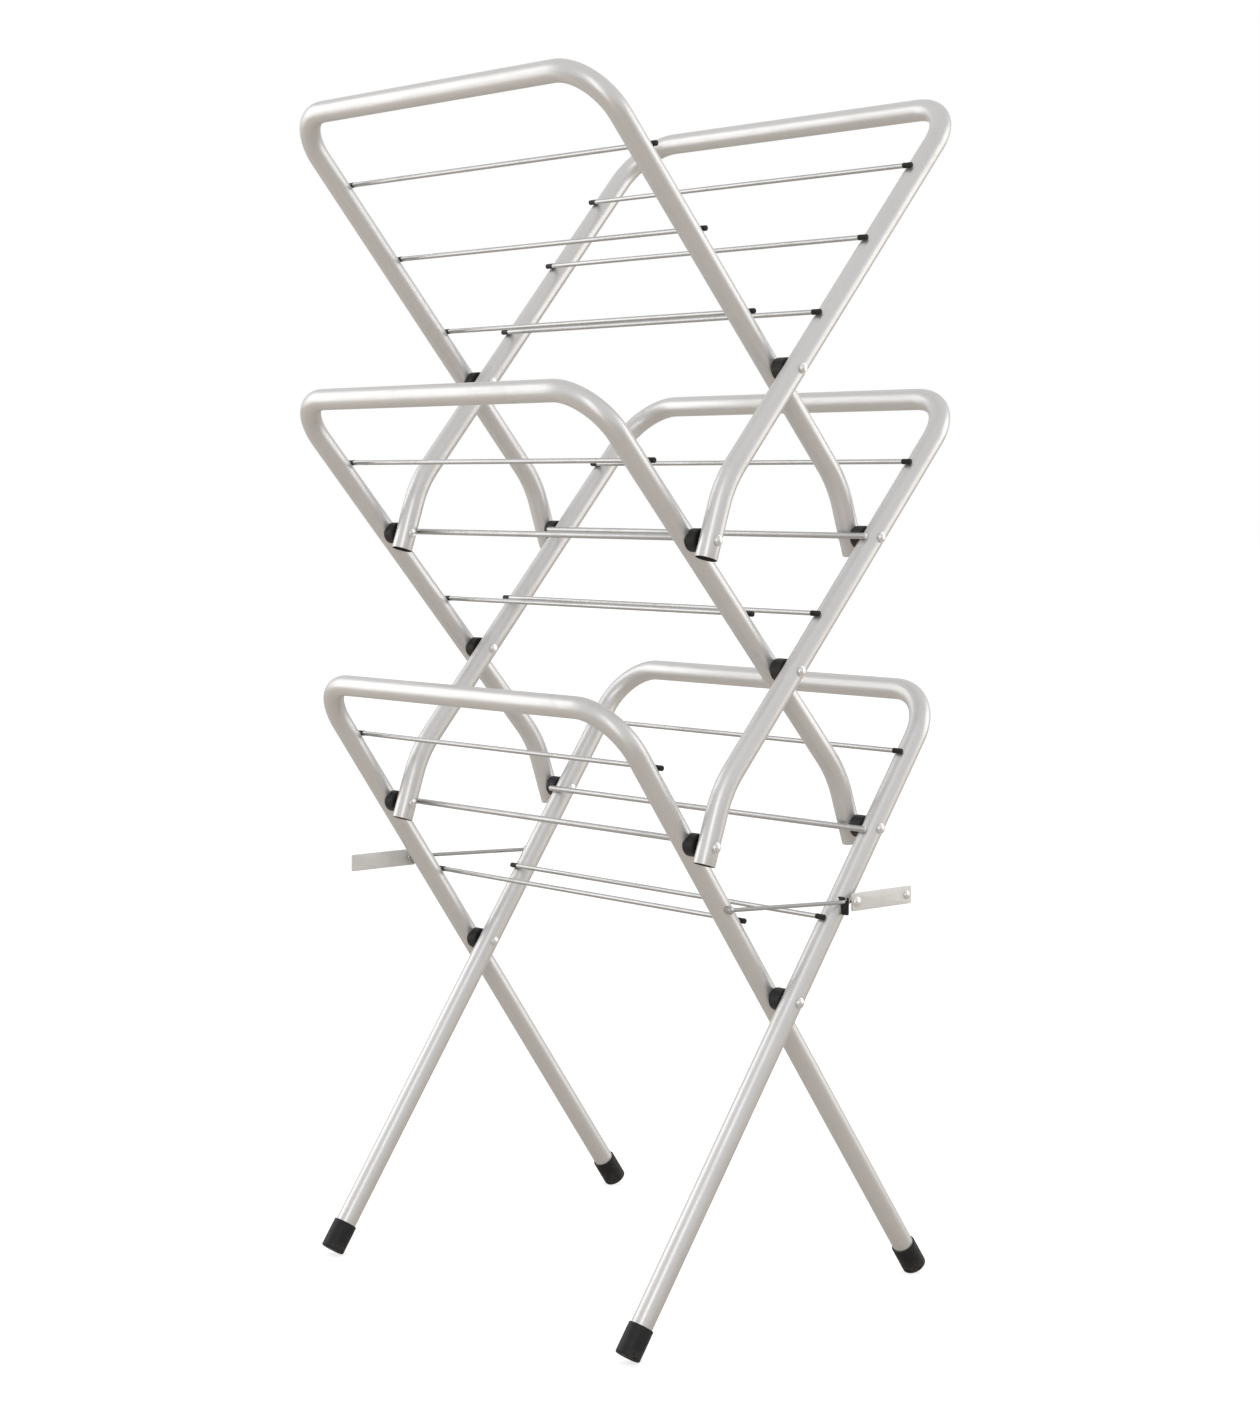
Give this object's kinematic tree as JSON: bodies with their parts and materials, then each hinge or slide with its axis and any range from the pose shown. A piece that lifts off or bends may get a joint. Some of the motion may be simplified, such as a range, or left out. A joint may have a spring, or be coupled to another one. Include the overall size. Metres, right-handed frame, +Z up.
{
  "type": "folding clothes drying rack",
  "caption": "Free-standing folding clothes airer: stacked pairs of crossed U-shaped tube frames with thin hanging rods between their legs, capped feet and hook-over locking stays.",
  "frame": {"origin": "on the floor, at the middle of the rack", "axes": "+X along the bars and rods, +Y to the rear, +Z up"},
  "size_m": [0.6396, 0.5504, 1.3864],
  "materials": {
    "frame_paint": "satin silver-grey coating",
    "bright_wire": "bright plated",
    "black_plastic": "moulded black, matte",
    "strap_paint": "light grey coating"
  },
  "bodies": {
    "low_rear": {"low_rear_frame": "frame_paint", "low_rear_rod_1": "bright_wire", "low_rear_rod_2": "bright_wire", "low_rear_rod_3": "bright_wire", "low_near_rivet": "bright_wire", "low_near_spacer": "black_plastic", "low_rear_pin_near": "black_plastic", "low_rear_pin_far": "black_plastic", "foot_cap_front_near": "black_plastic", "foot_cap_front_far": "black_plastic", "stay_near_catch": "black_plastic"},
    "low_front": {"low_front_frame": "frame_paint", "low_front_rod_1": "bright_wire", "low_front_rod_2": "bright_wire", "low_front_rod_3": "bright_wire", "low_far_rivet": "bright_wire", "low_far_spacer": "black_plastic", "low_front_pin_near": "black_plastic", "low_front_pin_far": "black_plastic", "foot_cap_rear_near": "black_plastic", "foot_cap_rear_far": "black_plastic", "stay_far_catch": "black_plastic"},
    "mid_rear": {"mid_rear_frame": "frame_paint", "mid_rear_rod_1": "bright_wire", "mid_rear_rod_2": "bright_wire", "mid_rear_rod_3": "bright_wire", "mid_near_rivet": "bright_wire", "mid_near_spacer": "black_plastic", "mid_rear_pin_near": "black_plastic", "mid_rear_pin_far": "black_plastic"},
    "mid_front": {"mid_front_frame": "frame_paint", "mid_front_rod_1": "bright_wire", "mid_front_rod_2": "bright_wire", "mid_front_rod_3": "bright_wire", "mid_far_rivet": "bright_wire", "mid_far_spacer": "black_plastic", "mid_front_pin_near": "black_plastic", "mid_front_pin_far": "black_plastic"},
    "top_rear": {"top_rear_frame": "frame_paint", "top_rear_rod_1": "bright_wire", "top_rear_rod_2": "bright_wire", "top_rear_rod_3": "bright_wire", "top_near_rivet": "bright_wire", "top_near_spacer": "black_plastic"},
    "top_front": {"top_front_frame": "frame_paint", "top_front_rod_1": "bright_wire", "top_front_rod_2": "bright_wire", "top_front_rod_3": "bright_wire", "top_far_rivet": "bright_wire", "top_far_spacer": "black_plastic"},
    "stay_near": {"stay_near_wire": "bright_wire", "stay_near_strap": "strap_paint"},
    "stay_far": {"stay_far_wire": "bright_wire", "stay_far_strap": "strap_paint"}
  },
  "joints": [
    {"name": "fold", "type": "hinge", "parent": "low_rear", "child": "low_front", "pos_m": [0, 0, 0.36221], "axis": [-1, 0, 0], "range_deg": [0, 38]},
    {"name": "mid_front_swing", "type": "hinge", "parent": "low_rear", "child": "mid_front", "pos_m": [0, 0.12744, 0.54764], "axis": [-1, 0, 0], "range_deg": [0, 38]},
    {"name": "mid_rear_swing", "type": "hinge", "parent": "low_front", "child": "mid_rear", "pos_m": [0, -0.12744, 0.54764], "axis": [1, 0, 0], "range_deg": [0, 38]},
    {"name": "top_front_swing", "type": "hinge", "parent": "mid_rear", "child": "top_front", "pos_m": [0, 0.12553, 0.87901], "axis": [-1, 0, 0], "range_deg": [0, 34.47]},
    {"name": "top_rear_swing", "type": "hinge", "parent": "mid_front", "child": "top_rear", "pos_m": [0, -0.12553, 0.87901], "axis": [1, 0, 0], "range_deg": [0, 34.47]},
    {"name": "stay_near_lift", "type": "hinge", "parent": "low_front", "child": "stay_near", "pos_m": [0, -0.0742, 0.47017], "axis": [1, 0, 0], "range_deg": [0, 76]},
    {"name": "stay_far_lift", "type": "hinge", "parent": "low_rear", "child": "stay_far", "pos_m": [0, 0.0742, 0.47017], "axis": [-1, 0, 0], "range_deg": [0, 76]}
  ],
  "couplings": [
    {"joint": "mid_front_swing", "follows": "fold", "ratio": 1},
    {"joint": "mid_rear_swing", "follows": "fold", "ratio": 1},
    {"joint": "top_front_swing", "follows": "fold", "ratio": 0.90709},
    {"joint": "top_rear_swing", "follows": "fold", "ratio": 0.90709},
    {"joint": "stay_near_lift", "follows": "fold", "ratio": 2},
    {"joint": "stay_far_lift", "follows": "fold", "ratio": 2}
  ]
}
